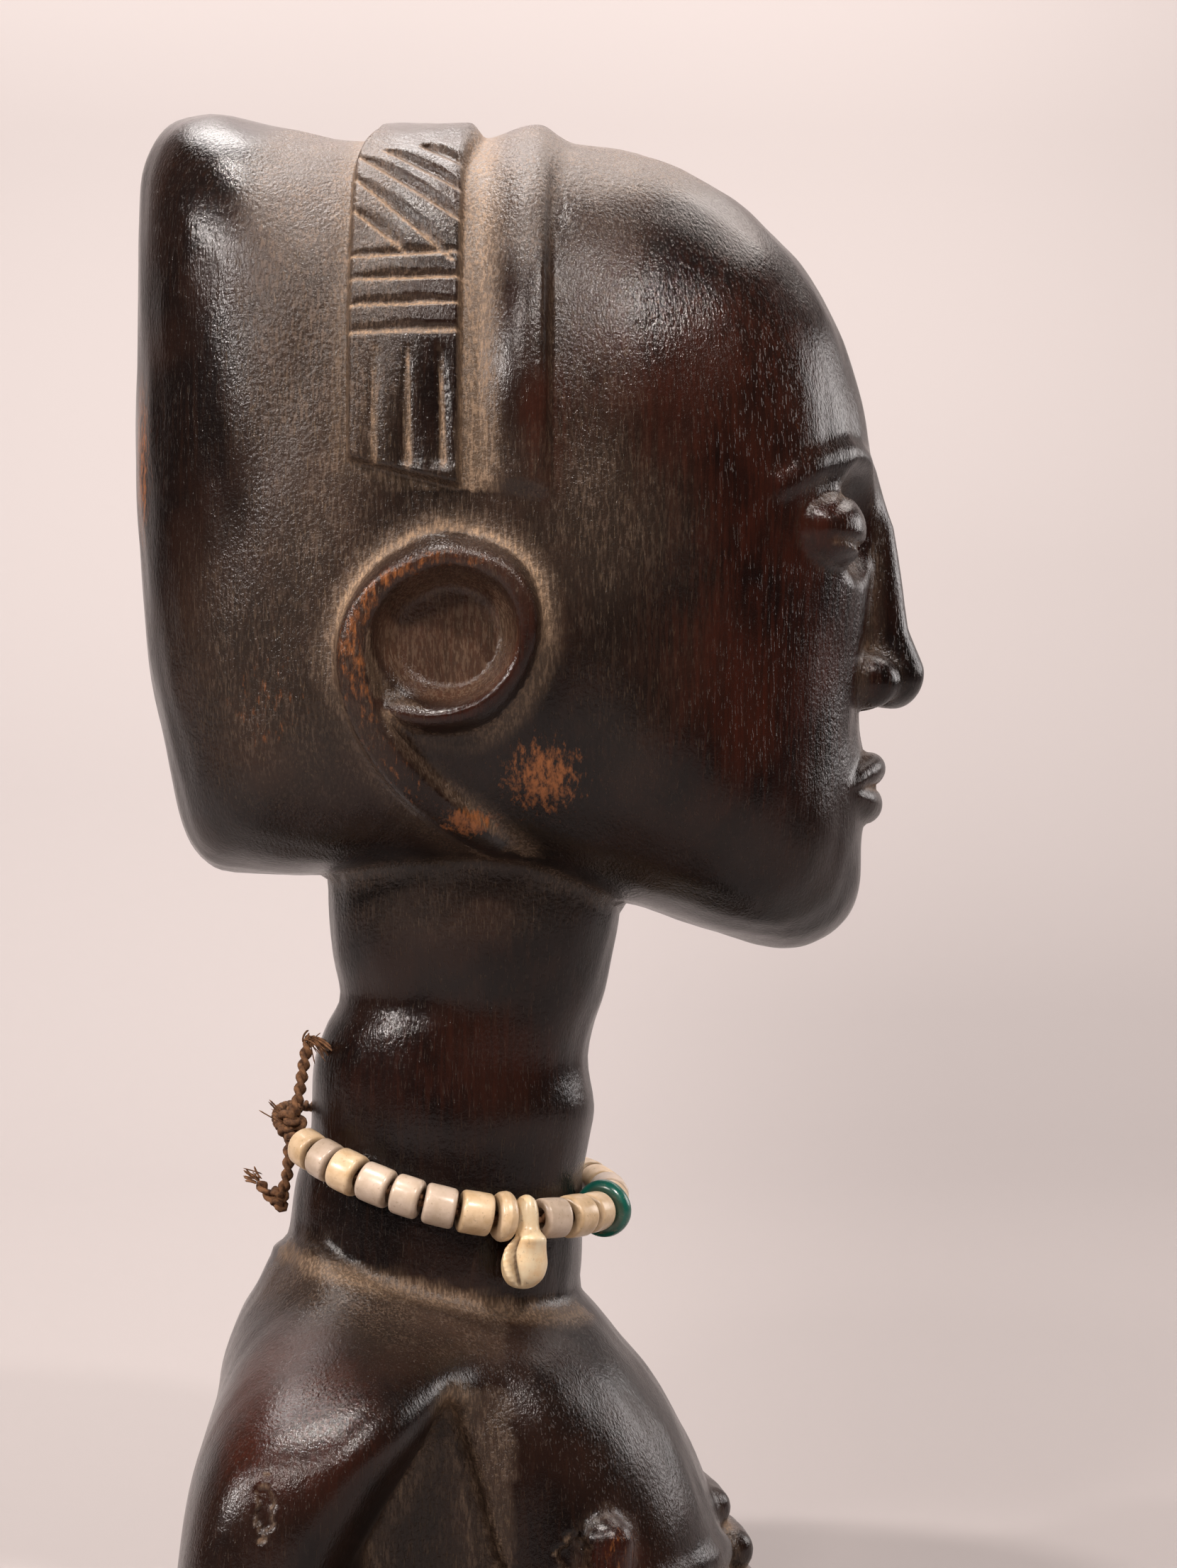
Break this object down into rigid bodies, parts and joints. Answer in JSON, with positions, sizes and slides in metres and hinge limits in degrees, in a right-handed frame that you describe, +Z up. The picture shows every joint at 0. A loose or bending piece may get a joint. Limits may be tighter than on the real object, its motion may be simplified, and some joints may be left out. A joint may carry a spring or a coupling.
{
  "type": "carved wooden bust",
  "caption": "Carved wooden bust in dark patinated wood, with a smooth cap of hair under a cut crown band, curled ears, a ringed neck, and a string of pale beads with a shell pendant.",
  "frame": {"origin": "the middle of the flat underside, below the neck", "axes": "+Z up, the figure faces -Y, its right side is -X"},
  "size_m": [0.1092, 0.1103, 0.2188],
  "materials": {
    "dark_wood": "dark brown-black patina, semi-gloss where handled, dusty tan in the recesses, orange where worn bare",
    "white_bead": "opaque white glass, softly glossy, slightly soiled",
    "cream_bead": "opaque cream glass, softly glossy, soiled at the ends",
    "green_bead": "dark green glass, glossy",
    "shell": "smooth cream shell with a satin shine",
    "fibre_string": "rough twisted brown plant fibre"
  },
  "bodies": {
    "root": {"carved_figure": "dark_wood", "bead_01": "cream_bead", "bead_02": "white_bead", "bead_03": "cream_bead", "bead_04": "white_bead", "bead_05": "white_bead", "bead_06": "white_bead", "bead_07": "cream_bead", "disc_bead": "cream_bead", "shell_pendant": "shell", "bead_08": "white_bead", "bead_09": "cream_bead", "bead_10": "cream_bead", "green_ring_bead": "green_bead", "bead_11": "cream_bead", "bead_12": "white_bead", "bead_13": "cream_bead", "bead_14": "cream_bead", "bead_15": "white_bead", "bead_16": "cream_bead", "bead_17": "cream_bead", "bead_18": "white_bead", "bead_19": "cream_bead", "bead_20": "cream_bead", "bead_21": "white_bead", "bead_22": "cream_bead", "necklace_string": "fibre_string"}
  },
  "joints": []
}
